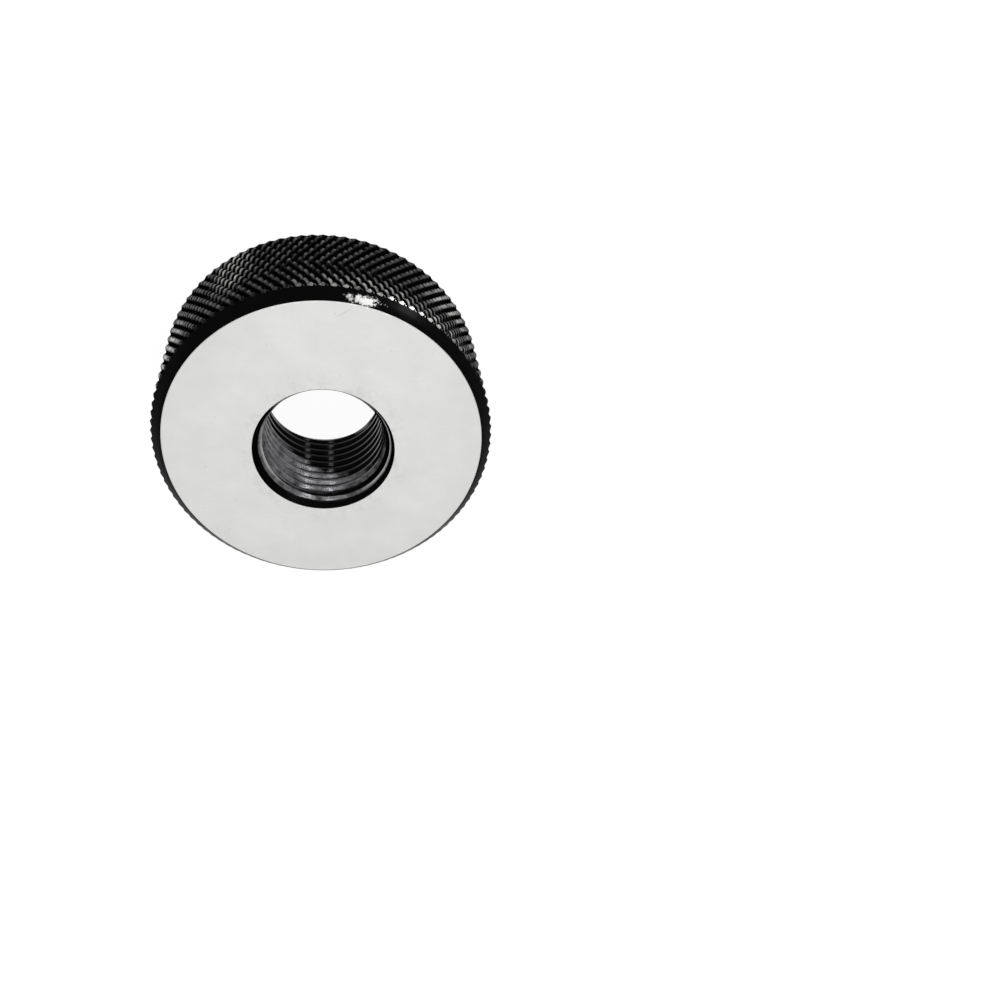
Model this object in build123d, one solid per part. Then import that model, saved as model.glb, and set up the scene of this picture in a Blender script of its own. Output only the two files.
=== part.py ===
from build123d import *
from math import ceil, cos, pi, radians, sin, tan
import os

# A solid thread ring gauge, M18 x 1.5, in millimetres. One turned piece of steel: a flat ring
# with chamfered rims, a crossed knurl round the outside for grip, and a bore that is countersunk
# at both ends. It lies on one lapped face. The origin is the centre of that face and the bore
# runs along +Z, so both faces are level and either one can be laid down.

# Driving dimensions
outside_diameter = 45.0       # over the crests of the knurl
ring_height = 17.0            # from lapped face to lapped face
rim_chamfer = 1.6             # 45 degree chamfer of both outer rims
thread_diameter = 18.0        # nominal (major) diameter of the gauged thread
thread_pitch = 1.5
countersink_clearance = 0.35  # how far each countersink opens past the thread's major radius
countersink_angle = 30.0      # between the countersink's wall and the bore's axis
knurl_pitch = 1.2             # between two ridges, square to them
knurl_angle = 30.0            # of the ridges, from the axis of the ring
knurl_depth = 0.25            # from the points of the knurl to the bottom of its grooves

# The crest of an internal metric thread stands in from the major radius by 5/8 of the
# sharp triangle's height, which is the pitch times half the square root of three.
crest_height = 5 / 8 * thread_pitch * cos(radians(30))
bore_radius = thread_diameter / 2 - crest_height
countersink_radius = thread_diameter / 2 + countersink_clearance
countersink_depth = (countersink_radius - bore_radius) / tan(radians(countersink_angle))

# The knurl repeats a whole number of times round the ring. Its points stand in rows that are
# half a pitch apart along the axis, and each row is turned by half a pitch against the last.
crest_radius = outside_diameter / 2
groove_radius = crest_radius - knurl_depth
knurl_lines = round(2 * pi * crest_radius * cos(radians(knurl_angle)) / knurl_pitch)
line_turn = 360 / knurl_lines
row_height = knurl_pitch / sin(radians(knurl_angle)) / 2
knurl_rows = ceil(ring_height / row_height) + 1
knurl_start = (ring_height - knurl_rows * row_height) / 2


def turned_blank():
    """The ring as turned: bore, countersinks, faces and chamfers, with stock left outside.

    The two chamfers run on past the knurl's points, so that they trim the knurl when the two
    shapes are brought together, as the chamfering tool does on the lathe.
    """
    half_section = Polygon(
        (bore_radius, countersink_depth),
        (countersink_radius, 0),
        (crest_radius - rim_chamfer, 0),
        (crest_radius + rim_chamfer, 2 * rim_chamfer),
        (crest_radius + rim_chamfer, ring_height - 2 * rim_chamfer),
        (crest_radius - rim_chamfer, ring_height),
        (countersink_radius, ring_height),
        (bore_radius, ring_height - countersink_depth),
        align=None,
    )
    return revolve(Plane.XZ * half_section, Axis.Z)


def knurl_row(row):
    """One level ring of the knurl's corners, half a line apart: groove crossings and points by turns."""
    corners = []
    for step in range(2 * knurl_lines):
        radius = groove_radius if (step + row) % 2 == 0 else crest_radius
        turn = radians(step * line_turn / 2)
        corners.append(Vector(radius * cos(turn), radius * sin(turn), knurl_start + row * row_height))
    return corners


def knurled_bar():
    """A bar with a crossed knurl: every point is a pyramid of four flat sides.

    Each cell between two rows has two points on one diagonal and two groove crossings on the
    other. The groove runs along its own diagonal, so that one is the fold between two flat sides.
    """
    rows = [knurl_row(row) for row in range(knurl_rows + 1)]
    sides = [Face(Wire.make_polygon(rows[0])), Face(Wire.make_polygon(rows[-1]))]
    for row in range(knurl_rows):
        for step in range(2 * knurl_lines):
            after = (step + 1) % (2 * knurl_lines)
            cell = [rows[row][step], rows[row][after], rows[row + 1][after], rows[row + 1][step]]
            if (step + row) % 2 == 1:
                cell = cell[1:] + cell[:1]
            crossing, point, next_crossing, next_point = cell
            sides.append(Face(Wire.make_polygon([crossing, point, next_crossing])))
            sides.append(Face(Wire.make_polygon([crossing, next_crossing, next_point])))
    return Solid(Shell(sides))


gauge_ring = turned_blank() & knurled_bar()

os.makedirs("parts", exist_ok=True)
export_step(gauge_ring, "parts/gauge_ring.step")
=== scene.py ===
from math import cos, pi, radians, sin, sqrt, tan

import bpy
import numpy as np
from mathutils import Matrix, Vector


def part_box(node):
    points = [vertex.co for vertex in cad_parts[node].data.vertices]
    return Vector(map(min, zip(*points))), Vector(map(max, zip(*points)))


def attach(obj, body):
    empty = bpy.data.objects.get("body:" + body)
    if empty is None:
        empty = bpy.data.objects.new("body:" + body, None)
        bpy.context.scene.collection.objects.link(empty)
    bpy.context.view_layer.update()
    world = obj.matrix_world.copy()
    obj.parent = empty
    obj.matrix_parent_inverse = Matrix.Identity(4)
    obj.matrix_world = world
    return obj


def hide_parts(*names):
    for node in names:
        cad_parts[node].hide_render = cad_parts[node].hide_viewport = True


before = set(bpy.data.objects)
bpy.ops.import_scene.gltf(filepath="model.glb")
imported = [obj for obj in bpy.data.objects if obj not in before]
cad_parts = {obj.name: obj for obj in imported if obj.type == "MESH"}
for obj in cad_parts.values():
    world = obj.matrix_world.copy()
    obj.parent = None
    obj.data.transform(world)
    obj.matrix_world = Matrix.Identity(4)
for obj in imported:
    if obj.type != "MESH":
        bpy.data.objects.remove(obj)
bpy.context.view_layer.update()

bl_info = {
    "name": "Thread ring gauge",
    "version": (1, 0, 0),
    "blender": (4, 5, 0),
    "location": "3D View > Sidebar > Ring gauge",
    "description": "A knurled thread ring gauge, and a plain studio to show it in",
    "category": "Add Mesh",
}

# The ring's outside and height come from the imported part, so the two never differ in size.
corner_low, corner_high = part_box("gauge_ring")
RING_DIAMETER = corner_high.x - corner_low.x
RING_HEIGHT = corner_high.z - corner_low.z
MM = 0.001


def linear(code):
    """An sRGB hex colour as the linear colour that Blender works in."""
    share = np.array([int(code[k:k + 2], 16) for k in (0, 2, 4)]) / 255
    shade = np.where(share <= 0.04045, share / 12.92, ((share + 0.055) / 1.055) ** 2.4)
    return (*shade.tolist(), 1.0)


# --------------------------------------------------------------------------------- sizes


class RingSizes(bpy.types.PropertyGroup):
    """Sizes of the ring that its turning and knurling tools set."""

    rim_chamfer: bpy.props.FloatProperty(
        name="Rim chamfer", description="Width of the 45 degree chamfer on both rims",
        default=1.6 * MM, min=0.0, unit="LENGTH")
    edge_break: bpy.props.FloatProperty(
        name="Edge break", description="Fine break where the lapped faces end",
        default=0.06 * MM, min=0.0, unit="LENGTH")
    knurl_lines: bpy.props.IntProperty(
        name="Knurl lines", description="Ridges of one hand round the ring",
        default=102, min=12)
    knurl_row: bpy.props.FloatProperty(
        name="Knurl row height", description="Along the bore, between two rows of knurl points",
        default=1.2 * MM, min=0.0001, unit="LENGTH")
    knurl_depth: bpy.props.FloatProperty(
        name="Knurl depth", description="Depth of the knurl's grooves below its points",
        default=0.25 * MM, min=0.0, unit="LENGTH")
    point_flat: bpy.props.FloatProperty(
        name="Point flat", description="Share of a knurl ridge's pitch that is worn flat",
        default=0.24, min=0.0, max=0.5, subtype="FACTOR")


class ThreadSizes(bpy.types.PropertyGroup):
    """Sizes of the gauged thread and of the countersinks at its two ends."""

    diameter: bpy.props.FloatProperty(
        name="Thread diameter", description="Nominal (major) diameter of the thread",
        default=18.0 * MM, min=0.001, unit="LENGTH")
    pitch: bpy.props.FloatProperty(
        name="Thread pitch", description="Height of one turn of the thread",
        default=1.5 * MM, min=0.0001, unit="LENGTH")
    start_turn: bpy.props.FloatProperty(
        name="Thread start", description="Turn round the bore at which the thread starts",
        default=radians(60), unit="ROTATION")
    countersink_clearance: bpy.props.FloatProperty(
        name="Countersink clearance", description="From the major radius to a countersink's rim",
        default=0.35 * MM, min=0.0, unit="LENGTH")
    countersink_angle: bpy.props.FloatProperty(
        name="Countersink angle", description="Between a countersink's wall and the bore's axis",
        default=radians(30), unit="ROTATION")


def colour_setting(name, description, code):
    """A colour setting whose default is written as sRGB hex."""
    return bpy.props.FloatVectorProperty(
        name=name, description=description, default=linear(code), size=4, min=0.0, max=1.0,
        subtype="COLOR")


class Finishes(bpy.types.PropertyGroup):
    """Colours of the ring's steel in its several states, and of its painted shade and glints."""

    lapped_dull: colour_setting("Lapped face, dull", "Where the lap cut less", "CACAC8")
    lapped_bright: colour_setting("Lapped face, bright", "Where the lap cut more", "D1D1D0")
    oxide_deep: colour_setting("Black oxide, deep", "Blackened knurl and chamfers", "020202")
    oxide_thin: colour_setting("Black oxide, thin", "Where the black is thin", "0A0A0B")
    # This steel colour serves both the worn places and the painted glints and highlights.
    bare_steel_and_glints: colour_setting("Bare steel and glints", "Where the black has worn off, and painted glints", "DCDCDA")
    thread_grey: colour_setting("Ground thread", "Ground thread outside the painted shade", "68686A")
    # The thread's dark colour is painted shade, for the dark bore that its deeper turns reflect.
    thread_painted_shade: colour_setting("Thread in painted shade", "Painted shade deeper in the bore", "080808")


class StudioSettings(bpy.types.PropertyGroup):
    """Light and floor of the studio."""

    daylight: bpy.props.FloatProperty(
        name="Daylight", description="Strength of the soft light from all round",
        default=0.6, min=0.0)
    floor_glow: bpy.props.FloatProperty(
        name="Floor white", description="Share of the floor's white that no shadow can darken",
        default=0.95, min=0.0, max=1.0, subtype="FACTOR")


# ------------------------------------------------------------------------- surfaces in numpy

# Corners in a circle at the ring's rim and at its bore, as many as keep each circle smooth.
RIM_CORNERS = 392
BORE_CORNERS = 288


def ridge_height(across, point_flat):
    """Height over one knurl groove's pitch: a V with a rounded root and a flat top.

    It is 0 where across is a whole number and 1 on the flat.

    With d the distance to the nearest whole number and e a small root radius, the height is
    hypot(d, e) - e, divided by the same at the flat's edge, and never over 1.
    """
    root = 0.03
    away = np.abs(across - np.round(across))
    edge = 0.5 - point_flat / 2
    return np.minimum(1.0, (np.hypot(away, root) - root) / (np.hypot(edge, root) - root))


def thread_radius(turns, pitch, diameter):
    """Radius of an internal thread at a height of so many turns above a crest's middle.

    The crest is flat for a quarter of the pitch and the root for an eighth. Between them the
    flank runs out by the square root of three for each step along the axis, which is 60 degrees
    between two flanks.
    """
    along = np.abs(turns - np.round(turns)) * pitch
    height = 5 / 8 * pitch * cos(radians(30))
    return diameter / 2 - height + np.clip((along - pitch / 8) * sqrt(3), 0.0, height)


def cut_along(corners, triangles, gap):
    """Cuts triangles along the line where gap is nought, so that a sharp edge can lie there.

    corners is one row of numbers for each corner and gap is one number for each. Every side
    whose ends differ in the gap's sign gets a new corner where the gap, taken as a straight
    line along the side, is nought. A cut triangle becomes the small one at its lone corner and
    the two that fill the rest.
    """
    above = gap > 0
    ups = above[triangles].sum(axis=1)
    cut = (ups == 1) | (ups == 2)
    whole, split = triangles[~cut], triangles[cut]
    lone = above[split] == (ups[cut] == 1)[:, None]
    first = lone.argmax(axis=1)
    split = np.take_along_axis(split, (first[:, None] + np.arange(3)) % 3, axis=1)
    sides = np.sort(np.concatenate([split[:, [0, 1]], split[:, [0, 2]]]), axis=1)
    sides, which = np.unique(sides, axis=0, return_inverse=True)
    which = which.reshape(-1) + len(corners)
    share = gap[sides[:, 0]] / (gap[sides[:, 0]] - gap[sides[:, 1]])
    fresh = corners[sides[:, 0]] + share[:, None] * (corners[sides[:, 1]] - corners[sides[:, 0]])
    near, far = which[:len(split)], which[len(split):]
    pieces = [
        whole,
        np.stack([split[:, 0], near, far], axis=1),
        np.stack([near, split[:, 1], split[:, 2]], axis=1),
        np.stack([near, split[:, 2], far], axis=1),
    ]
    return np.concatenate([corners, fresh]), np.concatenate(pieces)


def keep_between(corners, triangles, low, high):
    """Trims a surface to heights from low to high, cutting the triangles that cross either.

    The third number in each corner's row is its height.
    """
    corners, triangles = cut_along(corners, triangles, corners[:, 2] - high)
    corners, triangles = cut_along(corners, triangles, low - corners[:, 2])
    middle = corners[:, 2][triangles].mean(axis=1)
    return corners, triangles[(middle > low) & (middle < high)]


def knurl_surface(sizes):
    """The knurled outside with its two chamfers: radius and height over the turn.

    a and b count the pitches of the left and right hand grooves. Their half sum runs round the
    ring and their half difference up it, so a grid on a and b has its lines along the grooves.
    The height of the knurl is the lower of ridge_height(a) and ridge_height(b), and the radius
    is the least of that and of the two chamfer cones. Returns corners as rows of (x, y, height,
    knurl height, left ridge, right ridge) with x and y on the unit circle, their triangles,
    their radii, which of them a chamfer has cut, and the height at which the surface ends.
    """
    flat = sizes.point_flat
    # In each pitch the grid has lines at the groove's root, where its rounding ends and at the
    # two edges of the ridge's flat.
    steps = np.array([0.0, 0.07, 0.5 - flat / 2, 0.5 + flat / 2, 0.93])
    count = len(steps)
    period = 2 * sizes.knurl_row
    rows = np.ceil(RING_HEIGHT / sizes.knurl_row) + 1
    start = (RING_HEIGHT - rows * sizes.knurl_row) / 2
    low = count * int(np.floor(-2 * start / period) - 1)
    high = count * int(np.ceil(2 * (RING_HEIGHT - start) / period) + 1)
    left, rise = np.meshgrid(
        np.arange(sizes.knurl_lines * count), np.arange(low, high + 1), indexing="ij")
    right = left + rise
    a = left // count + steps[left % count]
    b = right // count + steps[right % count]
    turn = pi * (a + b) / sizes.knurl_lines
    height = start + period * (b - a) / 2
    knurl = np.minimum(ridge_height(a, flat), ridge_height(b, flat))
    # A ridge's mark is 1 across its flat and fades to 0 down its two sides.
    on_top = np.array([0.0, 0.0, 1.0, 1.0, 0.0])
    corners = np.stack([
        np.cos(turn), np.sin(turn), height, knurl, on_top[left % count], on_top[right % count],
    ], axis=-1).reshape(-1, 6)

    number = np.arange(left.size).reshape(left.shape)
    after = np.roll(number, -1, axis=0)
    west, south = number[:, 1:-1].ravel(), after[:, :-2].ravel()
    east, north = after[:, 1:-1].ravel(), number[:, 2:].ravel()
    level = (rise[:, 1:-1] % count == 0).ravel()
    triangles = np.concatenate([
        np.stack([west, south, np.where(level, east, north)], axis=1),
        np.stack([np.where(level, west, south), east, north], axis=1),
    ])

    crest = RING_DIAMETER / 2

    def knurl_radius(rows_of):
        return crest - sizes.knurl_depth * (1 - rows_of[:, 3])

    def cone_radius(rows_of):
        rim = np.minimum(rows_of[:, 2], RING_HEIGHT - rows_of[:, 2])
        return crest - sizes.rim_chamfer + rim

    # The surface ends on the plain part of each chamfer, short of the knurl's deepest grooves.
    edge = 0.6 * (sizes.rim_chamfer - sizes.knurl_depth)
    corners, triangles = keep_between(corners, triangles, edge, RING_HEIGHT - edge)
    corners, triangles = cut_along(
        corners, triangles, knurl_radius(corners) - cone_radius(corners))
    radius = np.minimum(knurl_radius(corners), cone_radius(corners))
    trimmed = knurl_radius(corners) > cone_radius(corners)
    return corners, triangles, radius, trimmed, edge


def bore_surface(sizes):
    """The threaded bore with its two countersinks.

    The grid's columns stand round the bore and its rows follow the thread, one turn of rows
    being one pitch higher where it comes round again. Returns corners as rows of (x, y, height,
    turns above a crest's middle) with x and y on the unit circle, and their triangles. The
    radius to give them is the greater of thread_radius and of the two countersink cones.
    """
    # In each pitch there are rows at the edges of the crest's flat and of the root's, and a
    # few more between them.
    steps = np.array([0.0, 0.09, 0.125, 0.28, 0.4375, 0.5, 0.5625, 0.72, 0.875, 0.91])
    count, columns = len(steps), BORE_CORNERS
    turns = int(np.ceil(RING_HEIGHT / sizes.pitch)) + 3
    column, row = np.meshgrid(np.arange(columns), np.arange(turns * count), indexing="ij")
    along = row // count + steps[row % count] - 2
    turn = 2 * pi * column / columns
    height = sizes.pitch * (along + turn / (2 * pi))
    corners = np.stack(
        [np.cos(turn + sizes.start_turn), np.sin(turn + sizes.start_turn), height, along], axis=-1
    ).reshape(-1, 4)
    number = np.arange(column.size).reshape(column.shape)
    after = np.concatenate([number[1:, :-count], number[:1, count:]])
    number = number[:, :-count]
    quads = [number[:, :-1], number[:, 1:], after[:, 1:], after[:, :-1]]
    one, two, three, four = (q.ravel() for q in quads)
    triangles = np.concatenate([
        np.stack([one, two, three], axis=1), np.stack([one, three, four], axis=1)])
    return corners, triangles


def ring_of(corners, used, height):
    """Numbers of the used corners at one height, in the order of their turn round the axis."""
    same_height = 0.000001 * MM
    level = used[np.abs(corners[used, 2] - height) < same_height]
    turn = np.arctan2(corners[level, 1], corners[level, 0])
    return level[np.argsort(turn)]


def join_rings(places, lower, upper):
    """Fills the strip between two closed rings of corners that stand in order of their turn.

    Each side of a ring gets one triangle, whose third corner is the other ring's corner that
    the sweep has reached. The sweep passes each side at the turn of its middle.
    """
    turn = [np.arctan2(places[ring, 1], places[ring, 0]) for ring in (lower, upper)]
    middle = [(t + np.append(t[1:], t[0] + 2 * pi)) / 2 for t in turn]
    reached = np.searchsorted(middle[1], middle[0]) % len(upper)
    below = np.stack([lower, np.roll(lower, -1), upper[reached]], axis=1)
    reached = np.searchsorted(middle[0], middle[1], side="right") % len(lower)
    above = np.stack([np.roll(upper, -1), upper, lower[reached]], axis=1)
    return np.concatenate([below, above])


def circle(radius, height, count):
    """Corners of a level circle, in order of their turn from -180 degrees."""
    turn = -pi + 2 * pi * (np.arange(count) + 0.5) / count
    return np.stack([radius * np.cos(turn), radius * np.sin(turn), np.full(count, height)], axis=1)


def ring_body_surface(sizes, thread):
    """The whole skin of the ring, closed: outside, two rims, two faces and the bore.

    Returns the corners' places, the triangles, each triangle's finish and the corners' marks.
    """
    top = RING_HEIGHT
    crest = RING_DIAMETER / 2

    outer, outer_triangles, outer_radius, trimmed, edge = knurl_surface(sizes)
    bore, bore_triangles = bore_surface(thread)

    slope = tan(thread.countersink_angle)
    mouth = thread.diameter / 2 + thread.countersink_clearance

    def cone_at(height):
        return mouth - np.minimum(height, top - height) * slope

    lip = sizes.edge_break
    bore, bore_triangles = keep_between(bore, bore_triangles, lip, top - lip)
    thread_at = thread_radius(bore[:, 3], thread.pitch, thread.diameter)
    bore, bore_triangles = cut_along(bore, bore_triangles, cone_at(bore[:, 2]) - thread_at)
    thread_at = thread_radius(bore[:, 3], thread.pitch, thread.diameter)
    bore_radius = np.maximum(thread_at, cone_at(bore[:, 2]))
    # A corner on the line of the cut counts as on the cone.
    hair = 0.0001 * MM
    on_cone = cone_at(bore[:, 2]) > thread_at - hair

    outer_xyz = np.column_stack([outer[:, :2] * outer_radius[:, None], outer[:, 2]])
    bore_xyz = np.column_stack([bore[:, :2] * bore_radius[:, None], bore[:, 2]])
    rim = crest - sizes.rim_chamfer
    loops = [
        circle(rim + lip, lip, RIM_CORNERS),
        circle(rim - lip, 0.0, RIM_CORNERS),
        circle(mouth + lip, 0.0, BORE_CORNERS),
        circle(rim + lip, top - lip, RIM_CORNERS),
        circle(rim - lip, top, RIM_CORNERS),
        circle(mouth + lip, top, BORE_CORNERS),
    ]
    places = np.concatenate([outer_xyz, bore_xyz] + loops)
    starts = np.cumsum([0, len(outer_xyz), len(bore_xyz)] + [len(loop) for loop in loops])
    bore_triangles = bore_triangles + starts[1]
    low_break, low_rim, low_mouth, high_break, high_rim, high_mouth = (
        np.arange(first, after) for first, after in zip(starts[2:], starts[3:]))
    outer_used, bore_used = np.unique(outer_triangles), np.unique(bore_triangles)
    outer_low = ring_of(places, outer_used, edge)
    outer_high = ring_of(places, outer_used, top - edge)
    bore_low = ring_of(places, bore_used, lip)
    bore_high = ring_of(places, bore_used, top - lip)

    # Each finish by the number of its material, in the order in which the ring gets them.
    black, lapped, ground = 0, 1, 2
    in_cone = on_cone[bore_triangles - starts[1]].all(axis=1)
    parts = [
        (outer_triangles, black),
        (bore_triangles[in_cone], black),
        (bore_triangles[~in_cone], ground),
        (join_rings(places, low_break, outer_low), black),
        (join_rings(places, low_rim, low_break), lapped),
        (join_rings(places, low_mouth, low_rim), lapped),
        (join_rings(places, bore_low, low_mouth), black),
        (join_rings(places, outer_high, high_break), black),
        (join_rings(places, high_break, high_rim), lapped),
        (join_rings(places, high_rim, high_mouth), lapped),
        (join_rings(places, high_mouth, bore_high), black),
    ]
    triangles = np.concatenate([p[0] for p in parts])
    finish = np.concatenate([np.full(len(p[0]), p[1]) for p in parts])
    # Marks for the materials: the knurl's height, each hand's ridges and the thread's lip.
    marks = {name: np.zeros(len(places)) for name in ("left_ridge", "right_ridge", "lip")}
    knurled = slice(0, len(outer))
    marks["ridge"] = np.ones(len(places))
    marks["ridge"][knurled] = np.where(trimmed, 1.0, outer[:, 3])
    marks["left_ridge"][knurled] = outer[:, 4] * ~trimmed
    marks["right_ridge"][knurled] = outer[:, 5] * ~trimmed
    lip_width = 0.12 * MM
    from_lip = np.abs(cone_at(bore[:, 2]) - thread_at)
    marks["lip"][starts[1]:starts[2]] = np.clip(1 - from_lip / lip_width, 0, 1)
    return places, triangles, finish, marks


def weld(places, triangles, finish, marks):
    """Makes corners that stand in the same place one, and drops the triangles that this closes."""
    same_place = 0.0002 * MM
    grid = np.round(places / same_place).astype(np.int64)
    _, first, number = np.unique(grid, axis=0, return_index=True, return_inverse=True)
    number = number.reshape(-1)
    triangles = number[triangles]
    a, b, c = triangles.T
    sound = (a != b) & (b != c) & (c != a)
    triangles, finish = triangles[sound], finish[sound]
    used, triangles = np.unique(triangles, return_inverse=True)
    pick = first[used]
    return places[pick], triangles.reshape(-1, 3), finish, {k: v[pick] for k, v in marks.items()}


def runout_marks(places, triangles, sizes):
    """1 for each triangle where a chamfer has cut through the knurl's ridges.

    Such a triangle leans at about 45 degrees, and lies further out than the grooves' roots.
    """
    a, b, c = (places[triangles[:, k]] for k in range(3))
    normal = np.cross(b - a, c - a)
    lean = np.abs(normal[:, 2]) / np.maximum(np.linalg.norm(normal, axis=1), 1e-18)
    middle = (a + b + c) / 3
    reach = np.hypot(middle[:, 0], middle[:, 1])
    return (lean > 0.6) & (lean < 0.8) & (reach > RING_DIAMETER / 2 - 0.9 * sizes.knurl_depth)


# ------------------------------------------------------------------------------- materials


def add_node(tree, kind, sockets=None, **settings):
    """Adds a node. settings are its own; sockets maps an input to a value or to what feeds it."""
    made = tree.nodes.new(kind)
    for name, value in settings.items():
        setattr(made, name, value)
    for name, value in (sockets or {}).items():
        if isinstance(value, bpy.types.NodeSocket):
            tree.links.new(value, made.inputs[name])
        else:
            made.inputs[name].default_value = value
    return made


def new_material(name):
    """An empty node material and its tree."""
    material = bpy.data.materials.new(name)
    material.use_nodes = True
    material.node_tree.nodes.clear()
    return material, material.node_tree


def places_in_mm(tree):
    """The object's own coordinates in millimetres, which every pattern is drawn on."""
    place = add_node(tree, "ShaderNodeTexCoord").outputs["Object"]
    return add_node(tree, "ShaderNodeVectorMath", {
        0: place, "Scale": 1 / MM}, operation="SCALE").outputs["Vector"]


def from_middle_of(tree, mm, middle, radii, turn=0.0):
    """Distance from an egg's middle, 0 there and 1 on its skin. turn is round the bore's axis."""
    inside = add_node(tree, "ShaderNodeMapping", {
        "Vector": mm, "Location": middle, "Rotation": (0, 0, radians(turn)), "Scale": radii},
        vector_type="TEXTURE").outputs["Vector"]
    return add_node(tree, "ShaderNodeVectorMath", {
        0: inside}, operation="LENGTH").outputs["Value"]


def lapped_steel(finishes):
    """Hardened gauge steel, lapped flat: an even, bright grey with faint crossing strokes.

    The strokes of a lap are some 0.02 mm wide. They are drawn 0.2 mm wide, so that they show
    as a soft streakiness and not as sparkle.
    """
    material, tree = new_material("lapped_gauge_steel")
    mm = places_in_mm(tree)

    # Clouds some 5 mm wide, where the lap cut more or less, keep the face from looking flat.
    clouds = add_node(tree, "ShaderNodeTexNoise", {
        "Vector": mm, "Scale": 1 / 5, "Detail": 3.0, "Roughness": 0.65})
    tone = add_node(tree, "ShaderNodeMapRange", {
        "Value": clouds.outputs["Fac"], "From Min": 0.3, "From Max": 0.7})

    # Two sets of strokes cross at about 50 degrees and catch the light along the face.
    strokes = []
    for angle in (28, -22):
        along = add_node(tree, "ShaderNodeMapping", {
            "Vector": mm, "Rotation": (0, 0, radians(angle)), "Scale": (0.25, 5.0, 1.0)})
        strokes.append(add_node(tree, "ShaderNodeTexNoise", {
            "Vector": along.outputs["Vector"], "Scale": 1.0, "Detail": 2.0}).outputs["Fac"])
    crossing = add_node(tree, "ShaderNodeMath", {0: strokes[0], 1: strokes[1]}, operation="ADD")
    tone = add_node(tree, "ShaderNodeMath", {
        0: tone.outputs["Result"], 1: crossing.outputs[0]}, operation="MULTIPLY")
    shade = add_node(tree, "ShaderNodeMix", {
        "Factor": tone.outputs[0], 6: finishes.lapped_dull, 7: finishes.lapped_bright},
        data_type="RGBA")

    # Dark specks of 0.1 to 0.2 mm, thickest in a few patches: pits and dried oil.
    grains = add_node(tree, "ShaderNodeTexNoise", {"Vector": mm, "Scale": 2.6, "Detail": 1.0})
    specks = add_node(tree, "ShaderNodeMapRange", {
        "Value": grains.outputs["Fac"], "From Min": 0.76, "From Max": 0.82, "To Max": 0.4})
    marked = add_node(tree, "ShaderNodeMix", {
        "Factor": specks.outputs["Result"], 6: shade.outputs[2], 7: finishes.thread_grey},
        data_type="RGBA")

    # Round the bore, oil has dried in faint mottled smudges.
    away = add_node(tree, "ShaderNodeVectorMath", {
        0: mm, 1: (1.0, 1.0, 0.0)}, operation="MULTIPLY").outputs["Vector"]
    away = add_node(tree, "ShaderNodeVectorMath", {0: away}, operation="LENGTH").outputs["Value"]
    halo = add_node(tree, "ShaderNodeMapRange", {
        "Value": away, "From Min": 13.0, "From Max": 9.5, "To Max": 0.28}).outputs["Result"]
    spots = add_node(tree, "ShaderNodeTexNoise", {
        "Vector": mm, "Scale": 0.8, "Detail": 5.0, "Roughness": 0.7}).outputs["Fac"]
    spots = add_node(tree, "ShaderNodeMapRange", {
        "Value": spots, "From Min": 0.48, "From Max": 0.75}).outputs["Result"]
    spots = add_node(tree, "ShaderNodeMath", {0: spots, 1: halo}, operation="MULTIPLY").outputs[0]
    marked = add_node(tree, "ShaderNodeMix", {
        "Factor": spots, 6: marked.outputs[2], 7: finishes.thread_grey}, data_type="RGBA")

    # One fine scratch, 2.5 mm long, near the rim.
    reach = from_middle_of(tree, mm, (-2.4, -19.6, 0.0), (1.3, 0.05, 1000.0), turn=33)
    scratch = add_node(tree, "ShaderNodeMapRange", {
        "Value": reach, "From Min": 1.0, "From Max": 0.6, "To Max": 0.4})
    marked = add_node(tree, "ShaderNodeMix", {
        "Factor": scratch.outputs["Result"], 6: marked.outputs[2], 7: finishes.thread_grey},
        data_type="RGBA")

    bump = add_node(tree, "ShaderNodeBump", {
        "Strength": 0.06, "Distance": 0.02 * MM, "Height": crossing.outputs[0]})
    shader = add_node(tree, "ShaderNodeBsdfPrincipled", {
        "Base Color": marked.outputs[2], "Metallic": 1.0, "Roughness": 0.3,
        "Normal": bump.outputs["Normal"]})
    add_node(tree, "ShaderNodeOutputMaterial", {"Surface": shader.outputs["BSDF"]})
    return material


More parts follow.
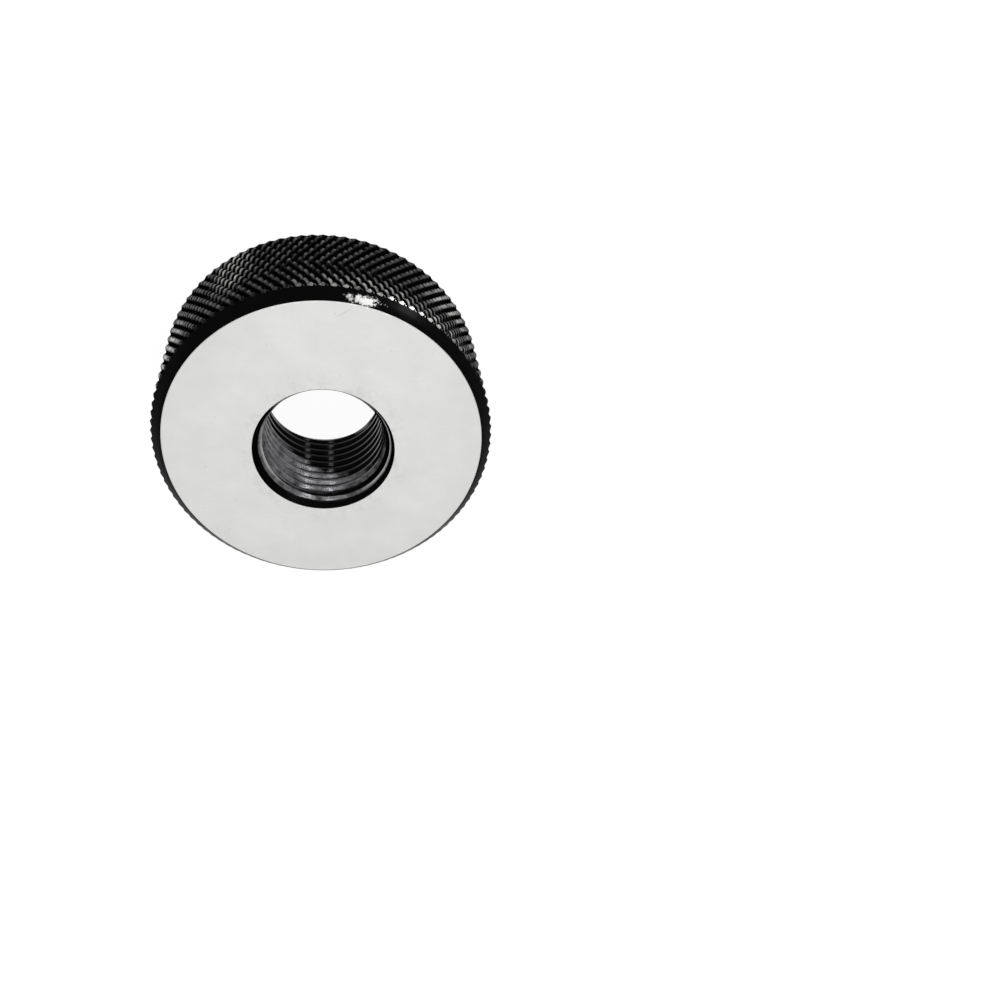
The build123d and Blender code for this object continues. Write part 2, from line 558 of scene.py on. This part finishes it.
def black_oxide(finishes):
    """Hot blackened steel: thin oiled black with a dull gloss, worn steel and painted glints.

    Worn steel shows on the points of the knurl and in one ragged patch on the upper chamfer.
    The same steel is also painted on as glints: along the ridges of each hand, on the points,
    where the ridges run out on the upper chamfer and as a highlight along the thread's lip.
    """
    material, tree = new_material("black_oxide_steel")
    mm = places_in_mm(tree)

    # Clouds some 3 mm wide make the black now deeper and smoother, now thinner and duller.
    clouds = add_node(tree, "ShaderNodeTexNoise", {
        "Vector": mm, "Scale": 1 / 3, "Detail": 4.0, "Roughness": 0.6}).outputs["Fac"]
    shade = add_node(tree, "ShaderNodeMix", {
        "Factor": clouds, 6: finishes.oxide_deep, 7: finishes.oxide_thin}, data_type="RGBA")
    dull = add_node(tree, "ShaderNodeMapRange", {
        "Value": clouds, "From Min": 0.3, "From Max": 0.7, "To Min": 0.18, "To Max": 0.34})
    # The salt bath leaves a grain of some 0.01 mm. It is drawn at 0.15 mm, to be seen as a tooth.
    grain = add_node(tree, "ShaderNodeTexNoise", {
        "Vector": mm, "Scale": 1 / 0.15, "Detail": 2.0}).outputs["Fac"]
    bump = add_node(tree, "ShaderNodeBump", {
        "Strength": 0.12, "Distance": 0.01 * MM, "Height": grain})
    # Old dry oil lies in the grooves and takes their gloss. The tops and the chamfers keep it.
    height = add_node(tree, "ShaderNodeAttribute", attribute_name="ridge").outputs["Fac"]
    gloss = add_node(tree, "ShaderNodeMapRange", {
        "Value": height, "From Min": 0.5, "To Max": 0.02}).outputs["Result"]
    oxide = add_node(tree, "ShaderNodeBsdfPrincipled", {
        "Base Color": shade.outputs[2], "Roughness": dull.outputs["Result"],
        "Specular IOR Level": gloss, "Normal": bump.outputs["Normal"]})

    # A noise that comes and goes every 2 mm or so, with a finer ragged edge, breaks up both
    # the worn steel and the painted glints.
    wear_and_glint_breakup = add_node(tree, "ShaderNodeTexNoise", {
        "Vector": mm, "Scale": 0.7, "Detail": 5.0, "Roughness": 0.75}).outputs["Fac"]
    # Four places on the outside get more painted glints: low at the front, high on one side and
    # halfway up the other side of the knurl, and along the upper rim's chamfer.
    glints_front_low, glints_side_high, glints_far_side, glints_upper_rim = (add_node(tree, "ShaderNodeMapRange", {
        "Value": from_middle_of(tree, mm, middle, radii), "From Min": 1.2, "From Max": 0.5,
    }).outputs["Result"] for middle, radii in (
        ((11.8, -19.2, 6.0), (3.2, 3.2, 7.0)), ((19.2, -11.0, 14.0), (3.0, 4.0, 9.0)),
        ((-16.5, -15.2, 9.0), (5.0, 5.0, 7.0)), ((-7.5, -18.2, 16.0), (13.0, 9.0, 3.5)),
    ))
    # Painted glints on the two hands of ridges stand for light caught by the flanks of one hand
    # and not the other. On the lower half of the ring those that climb to the left show, and on
    # the upper half and round to one side the others. The line between the halves wavers by
    # 2 mm, and along it mostly the points show.
    apart = add_node(tree, "ShaderNodeSeparateXYZ", {"Vector": mm})
    waver = add_node(tree, "ShaderNodeTexNoise", {
        "Vector": mm, "Scale": 0.15, "Detail": 2.0}).outputs["Fac"]
    level = add_node(tree, "ShaderNodeMath", {
        0: waver, 1: 8.0, 2: apart.outputs["Z"]}, operation="MULTIPLY_ADD").outputs[0]
    lower = add_node(tree, "ShaderNodeMapRange", {
        "Value": level, "From Min": 14.5, "From Max": 12.5}).outputs["Result"]
    upper = add_node(tree, "ShaderNodeMapRange", {
        "Value": level, "From Min": 13.0, "From Max": 15.5}).outputs["Result"]
    glint_side = add_node(tree, "ShaderNodeMapRange", {
        "Value": apart.outputs["X"], "From Min": 11.5, "From Max": 14.5}).outputs["Result"]
    across = add_node(tree, "ShaderNodeMath", {
        0: 1.0, 1: glint_side}, operation="SUBTRACT").outputs[0]
    lower = add_node(tree, "ShaderNodeMath", {
        0: lower, 1: across}, operation="MULTIPLY").outputs[0]
    upper = add_node(tree, "ShaderNodeMath", {
        0: upper, 1: glint_side}, operation="MAXIMUM").outputs[0]
    # Towards the back both hands show alike and faintly, and the points show most.
    front = add_node(tree, "ShaderNodeMapRange", {
        "Value": apart.outputs["Y"], "From Min": 5.0, "From Max": -2.0}).outputs["Result"]
    lower, upper = (add_node(tree, "ShaderNodeMapRange", {
        "Value": front, "To Min": 0.2, "To Max": half,
    }).outputs["Result"] for half in (lower, upper))
    lower = add_node(tree, "ShaderNodeMath", {
        0: lower, 1: glints_front_low}, operation="MAXIMUM").outputs[0]
    # The marks are strongest on the points and fade into the grooves that cross the ridge.
    high = add_node(tree, "ShaderNodeMapRange", {
        "Value": height, "From Min": 0.1, "From Max": 0.9, "To Min": 0.45}).outputs["Result"]
    ridges = []
    for name in ("left_ridge", "right_ridge"):
        mark = add_node(tree, "ShaderNodeAttribute", attribute_name=name).outputs["Fac"]
        line = add_node(tree, "ShaderNodeMapRange", {
            "Value": mark, "From Min": 0.65, "From Max": 1.0}).outputs["Result"]
        ridges.append(add_node(tree, "ShaderNodeMath", {
            0: line, 1: high}, operation="MULTIPLY").outputs[0])
    left, right = ridges
    crossing = add_node(tree, "ShaderNodeMath", {
        0: left, 1: right}, operation="MULTIPLY").outputs[0]
    left = add_node(tree, "ShaderNodeMath", {0: left, 1: lower}, operation="MULTIPLY").outputs[0]
    right = add_node(tree, "ShaderNodeMath", {0: right, 1: upper}, operation="MULTIPLY").outputs[0]
    left_glint_places = add_node(tree, "ShaderNodeMath", {
        0: glints_front_low, 1: glints_far_side}, operation="MAXIMUM").outputs[0]
    right_glint_places = add_node(tree, "ShaderNodeMath", {
        0: glints_upper_rim, 1: glints_side_high}, operation="MAXIMUM").outputs[0]
    runout = add_node(tree, "ShaderNodeAttribute", attribute_name="runout").outputs["Fac"]
    lip = add_node(tree, "ShaderNodeAttribute", attribute_name="lip").outputs["Fac"]
    # Each mark turns to steel where the breakup noise lies between least and most: by so much
    # anywhere, and by so much more in its own place of painted glints. The ridges of each hand
    # and the run-outs on the chamfer are painted glints; the points and the lip are partly wear
    # and partly painted glints.
    bare_and_glints = 0.0
    for mark, least, most, anywhere, more, rubbed_place in (
        (left, 0.35, 0.6, 0.12, 0.6, left_glint_places),
        (right, 0.35, 0.6, 0.11, 0.8, right_glint_places),
        (crossing, 0.35, 0.6, 0.15, 0.2, glints_front_low),
        (runout, 0.35, 0.7, 0.03, 0.6, glints_upper_rim),
        (lip, 0.4, 0.8, 0.1, 0.0, glints_front_low),
    ):
        barest = add_node(tree, "ShaderNodeMath", {
            0: rubbed_place, 1: more, 2: anywhere}, operation="MULTIPLY_ADD").outputs[0]
        part = add_node(tree, "ShaderNodeMapRange", {
            "Value": wear_and_glint_breakup, "From Min": least, "From Max": most, "To Max": barest})
        part = add_node(tree, "ShaderNodeMath", {
            0: part.outputs["Result"], 1: mark}, operation="MULTIPLY").outputs[0]
        bare_and_glints = add_node(tree, "ShaderNodeMath", {
            0: part, 1: bare_and_glints}, operation="MAXIMUM").outputs[0]

    # The patch is 4 mm long and 1 mm wide, and follows the chamfer.
    reach = from_middle_of(tree, mm, (-4.7, -20.88, 16.5), (1.9, 0.5, 0.8), turn=-12.7)
    edge = add_node(tree, "ShaderNodeTexNoise", {
        "Vector": mm, "Scale": 1.8, "Detail": 5.0, "Roughness": 0.8}).outputs["Fac"]
    ragged = add_node(tree, "ShaderNodeMath", {
        0: edge, 1: 4.0, 2: reach}, operation="MULTIPLY_ADD").outputs[0]
    part = add_node(tree, "ShaderNodeMapRange", {
        "Value": ragged, "From Min": 3.0, "From Max": 2.6})
    bare_and_glints = add_node(tree, "ShaderNodeMath", {
        0: part.outputs["Result"], 1: bare_and_glints}, operation="MAXIMUM").outputs[0]

    steel = add_node(tree, "ShaderNodeBsdfPrincipled", {
        "Base Color": finishes.bare_steel_and_glints, "Metallic": 1.0, "Roughness": 0.32,
        "Normal": bump.outputs["Normal"]})
    both = add_node(tree, "ShaderNodeMixShader", {
        0: bare_and_glints, 1: oxide.outputs["BSDF"], 2: steel.outputs["BSDF"]})
    add_node(tree, "ShaderNodeOutputMaterial", {"Surface": both.outputs["Shader"]})
    return material


def ground_thread(finishes):
    """Ground gauge thread: grey near the upper face, with painted shade further down the bore."""
    material, tree = new_material("ground_thread_steel")
    mm = places_in_mm(tree)
    apart = add_node(tree, "ShaderNodeSeparateXYZ", {"Vector": mm})

    # The edge of the painted shade lies some 7 mm down, tilts across the bore and wavers by a
    # millimetre or two.
    waver = add_node(tree, "ShaderNodeTexNoise", {
        "Vector": mm, "Scale": 0.35, "Detail": 4.0, "Roughness": 0.6}).outputs["Fac"]
    middle = RING_HEIGHT / MM / 2
    from_middle = add_node(tree, "ShaderNodeMath", {
        0: apart.outputs["Z"], 1: middle}, operation="SUBTRACT").outputs[0]
    tilted = add_node(tree, "ShaderNodeMath", {
        0: apart.outputs["X"], 1: 0.6, 2: from_middle}, operation="MULTIPLY_ADD").outputs[0]
    level = add_node(tree, "ShaderNodeMath", {
        0: waver, 1: 3.0, 2: tilted}, operation="MULTIPLY_ADD").outputs[0]
    lit_share = add_node(tree, "ShaderNodeMapRange", {
        "Value": level, "From Min": 2.0, "From Max": 3.4}).outputs["Result"]
    # Above that edge the thread is stained in spots of a millimetre or so.
    stain = add_node(tree, "ShaderNodeTexNoise", {
        "Vector": mm, "Scale": 0.9, "Detail": 4.0, "Roughness": 0.65}).outputs["Fac"]
    stain = add_node(tree, "ShaderNodeMapRange", {
        "Value": stain, "From Min": 0.35, "From Max": 0.65, "To Min": 0.25}).outputs["Result"]
    lit_share = add_node(tree, "ShaderNodeMath", {0: lit_share, 1: stain}, operation="MULTIPLY").outputs[0]
    # A painted highlight runs along the lip where the thread meets the countersink, at two
    # opposite sides.
    lip = add_node(tree, "ShaderNodeAttribute", attribute_name="lip").outputs["Fac"]
    glint_side = add_node(tree, "ShaderNodeMath", {0: apart.outputs["X"]}, operation="ABSOLUTE")
    glint_side = add_node(tree, "ShaderNodeMapRange", {
        "Value": glint_side.outputs[0], "From Min": 4.5, "From Max": 7.5, "To Max": 0.5})
    lip = add_node(tree, "ShaderNodeMath", {
        0: lip, 1: glint_side.outputs["Result"]}, operation="MULTIPLY").outputs[0]
    shade = add_node(tree, "ShaderNodeMix", {
        "Factor": lit_share, 6: finishes.thread_painted_shade, 7: finishes.thread_grey}, data_type="RGBA")
    shade = add_node(tree, "ShaderNodeMix", {
        "Factor": lip, 6: shade.outputs[2], 7: finishes.bare_steel_and_glints}, data_type="RGBA")

    # The thread under the painted shade is smoother, so it throws sharper highlights than the
    # grey thread above.
    smooth = add_node(tree, "ShaderNodeMapRange", {
        "Value": lit_share, "From Max": 0.3, "To Min": 0.08, "To Max": 0.24}).outputs["Result"]
    # Grinding leaves fine lines round the bore, 0.1 mm apart, that break up its highlights.
    stretched = add_node(tree, "ShaderNodeMapping", {"Vector": mm, "Scale": (0.6, 0.6, 8.0)})
    lines = add_node(tree, "ShaderNodeTexNoise", {
        "Vector": stretched.outputs["Vector"], "Scale": 1.0, "Detail": 3.0}).outputs["Fac"]
    bump = add_node(tree, "ShaderNodeBump", {
        "Strength": 0.5, "Distance": 0.02 * MM, "Height": lines})
    shader = add_node(tree, "ShaderNodeBsdfPrincipled", {
        "Base Color": shade.outputs[2], "Metallic": 1.0, "Roughness": smooth,
        "Normal": bump.outputs["Normal"]})
    add_node(tree, "ShaderNodeOutputMaterial", {"Surface": shader.outputs["BSDF"]})
    return material


# ------------------------------------------------------------------------------- operators


class GAUGE_OT_ring_body(bpy.types.Operator):
    """Makes the knurled ring with its thread, in the place of the plain part."""

    bl_idname = "gauge.ring_body"
    bl_label = "Ring body"

    def execute(self, context):
        scene = context.scene
        skin = ring_body_surface(scene.ring_sizes, scene.thread_sizes)
        places, triangles, finish, marks = weld(*skin)
        mesh = bpy.data.meshes.new("ring_body")
        mesh.from_pydata(places.tolist(), [], triangles.tolist())
        mesh.polygons.foreach_set("material_index", finish.astype(np.int32))
        mesh.polygons.foreach_set("use_smooth", np.ones(len(triangles), dtype=bool))
        for name, values in marks.items():
            mark = mesh.attributes.new(name, "FLOAT", "POINT")
            mark.data.foreach_set("value", values.astype(np.float32))
        runout = mesh.attributes.new("runout", "FLOAT", "FACE")
        cut = runout_marks(places, triangles, scene.ring_sizes)
        runout.data.foreach_set("value", cut.astype(np.float32))
        if mesh.validate():
            raise RuntimeError("the ring's skin has a bad face")
        mesh.set_sharp_from_angle(angle=radians(24))
        for material in (black_oxide, lapped_steel, ground_thread):
            mesh.materials.append(material(scene.finishes))
        body = bpy.data.objects.new("ring_body", mesh)
        scene.collection.objects.link(body)
        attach(body, "root")
        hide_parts("gauge_ring")
        return {"FINISHED"}


class GAUGE_OT_studio(bpy.types.Operator):
    """Sets up the pale floor, the soft lamps, the white surroundings and the camera."""

    bl_idname = "gauge.studio"
    bl_label = "Studio"

    def execute(self, context):
        scene = context.scene
        settings = scene.studio_settings
        self.floor(scene, settings)
        self.surroundings(scene, settings)
        self.lamps(scene)
        self.camera(scene)
        scene.view_settings.view_transform = "Standard"
        return {"FINISHED"}

    def seen_rays(self, tree):
        """1 for a ray from the camera, a gloss or a glass, which shows the white background."""
        path = add_node(tree, "ShaderNodeLightPath")
        some = add_node(tree, "ShaderNodeMath", {
            0: path.outputs["Is Camera Ray"], 1: path.outputs["Is Glossy Ray"]},
            operation="MAXIMUM")
        return add_node(tree, "ShaderNodeMath", {
            0: some.outputs[0], 1: path.outputs["Is Transmission Ray"]},
            operation="MAXIMUM").outputs[0]

    def floor(self, scene, settings):
        """A level square of 3 m, white but for the soft shadow that the ring leaves on it."""
        mesh = bpy.data.meshes.new("floor")
        half = 1.5
        # A hair under the ring, so that the two never share a plane.
        level = -0.01 * MM
        corners = [(x, y, level) for x, y in (
            (-half, -half), (half, -half), (half, half), (-half, half))]
        mesh.from_pydata(corners, [], [(0, 1, 2, 3)])
        material, tree = new_material("pale_floor")
        matt = add_node(tree, "ShaderNodeBsdfDiffuse", {"Color": (0.1, 0.1, 0.1, 1.0)})
        glow = add_node(tree, "ShaderNodeMath", {
            0: self.seen_rays(tree), 1: settings.floor_glow}, operation="MULTIPLY")
        white = add_node(tree, "ShaderNodeEmission", {
            "Color": (1.0, 1.0, 1.0, 1.0), "Strength": glow.outputs[0]})
        both = add_node(tree, "ShaderNodeAddShader", {
            0: matt.outputs["BSDF"], 1: white.outputs["Emission"]})
        add_node(tree, "ShaderNodeOutputMaterial", {"Surface": both.outputs["Shader"]})
        mesh.materials.append(material)
        floor = bpy.data.objects.new("floor", mesh)
        scene.collection.objects.link(floor)

    def surroundings(self, scene, settings):
        """White to the eye and to gloss, and softer where it only lights a dull surface."""
        world = bpy.data.worlds.new("white_surroundings")
        world.use_nodes = True
        tree = world.node_tree
        tree.nodes.clear()
        strength = add_node(tree, "ShaderNodeMapRange", {
            "Value": self.seen_rays(tree), "To Min": settings.daylight, "To Max": 1.0})
        light = add_node(tree, "ShaderNodeBackground", {
            "Color": (1.0, 1.0, 1.0, 1.0), "Strength": strength.outputs["Result"]})
        add_node(tree, "ShaderNodeOutputWorld", {"Surface": light.outputs["Background"]})
        scene.world = world

    def lamps(self, scene):
        """Square soft boxes round the ring, each by its turn, rise, distance, side and strength.

        The first adds a soft light from above to the surroundings. The two thread lamps shine
        down the bore and draw the highlights on its turns, and the last skims the chamfer.
        """
        for name, turn, rise, away, side, strength in (
            ("overhead_box", 92, 62, 0.8, 0.34, 0.3),
            ("thread_lamp", -67, 65, 0.5, 0.03, 40.0),
            ("other_thread_lamp", -119, 65, 0.5, 0.03, 38.0),
            ("chamfer_lamp", -133, 17, 0.5, 0.04, 150.0),
        ):
            direction = Vector((
                cos(radians(rise)) * cos(radians(turn)),
                cos(radians(rise)) * sin(radians(turn)),
                sin(radians(rise))))
            lamp = bpy.data.lights.new(name, "AREA")
            lamp.shape = "SQUARE"
            lamp.size = side
            lamp.energy = strength * side * side * pi
            holder = bpy.data.objects.new(name, lamp)
            holder.location = direction * away + Vector((0, 0, RING_HEIGHT / 2))
            holder.rotation_euler = direction.to_track_quat("Z", "Y").to_euler()
            holder.visible_camera = False
            scene.collection.objects.link(holder)

    def camera(self, scene):
        """Looks down on the upper face from the side of the knurl that shows above it."""
        eye = Vector((0.0, -67.052, 114.164)) * MM
        ahead = Vector((-0.09124, 0.69413, -0.71404)).normalized()
        upward = Vector((-0.00289, -0.71722, -0.69684))
        side = ahead.cross(upward).normalized()
        upward = side.cross(ahead)
        lens = bpy.data.cameras.new("studio_camera")
        lens.sensor_width = 36.0
        lens.lens = 31.583
        lens.shift_x, lens.shift_y = 0.0955, 0.1008
        lens.clip_start = 0.01
        camera = bpy.data.objects.new("studio_camera", lens)
        turn = Matrix((side, upward, -ahead)).transposed().to_4x4()
        camera.matrix_world = Matrix.Translation(eye) @ turn
        scene.collection.objects.link(camera)
        scene.camera = camera


class GAUGE_PT_panel(bpy.types.Panel):
    """Lists the ring gauge's operators and sizes in the sidebar."""

    bl_idname = "GAUGE_PT_panel"
    bl_label = "Ring gauge"
    bl_space_type = "VIEW_3D"
    bl_region_type = "UI"
    bl_category = "Ring gauge"

    def draw(self, context):
        for operator in (GAUGE_OT_ring_body, GAUGE_OT_studio):
            self.layout.operator(operator.bl_idname)
        for group in SETTINGS:
            settings = getattr(context.scene, group)
            box = self.layout.box()
            for name in settings.bl_rna.properties.keys():
                if name not in ("rna_type", "name"):
                    box.prop(settings, name)


SETTINGS = {
    "ring_sizes": RingSizes,
    "thread_sizes": ThreadSizes,
    "finishes": Finishes,
    "studio_settings": StudioSettings,
}
CLASSES = (*SETTINGS.values(), GAUGE_OT_ring_body, GAUGE_OT_studio, GAUGE_PT_panel)


def register():
    for kind in CLASSES:
        bpy.utils.register_class(kind)
    for name, group in SETTINGS.items():
        setattr(bpy.types.Scene, name, bpy.props.PointerProperty(type=group))


def unregister():
    for name in SETTINGS:
        delattr(bpy.types.Scene, name)
    for kind in reversed(CLASSES):
        bpy.utils.unregister_class(kind)


def main():
    register()
    bpy.ops.gauge.ring_body()
    bpy.ops.gauge.studio()


if __name__ == "__main__":
    main()
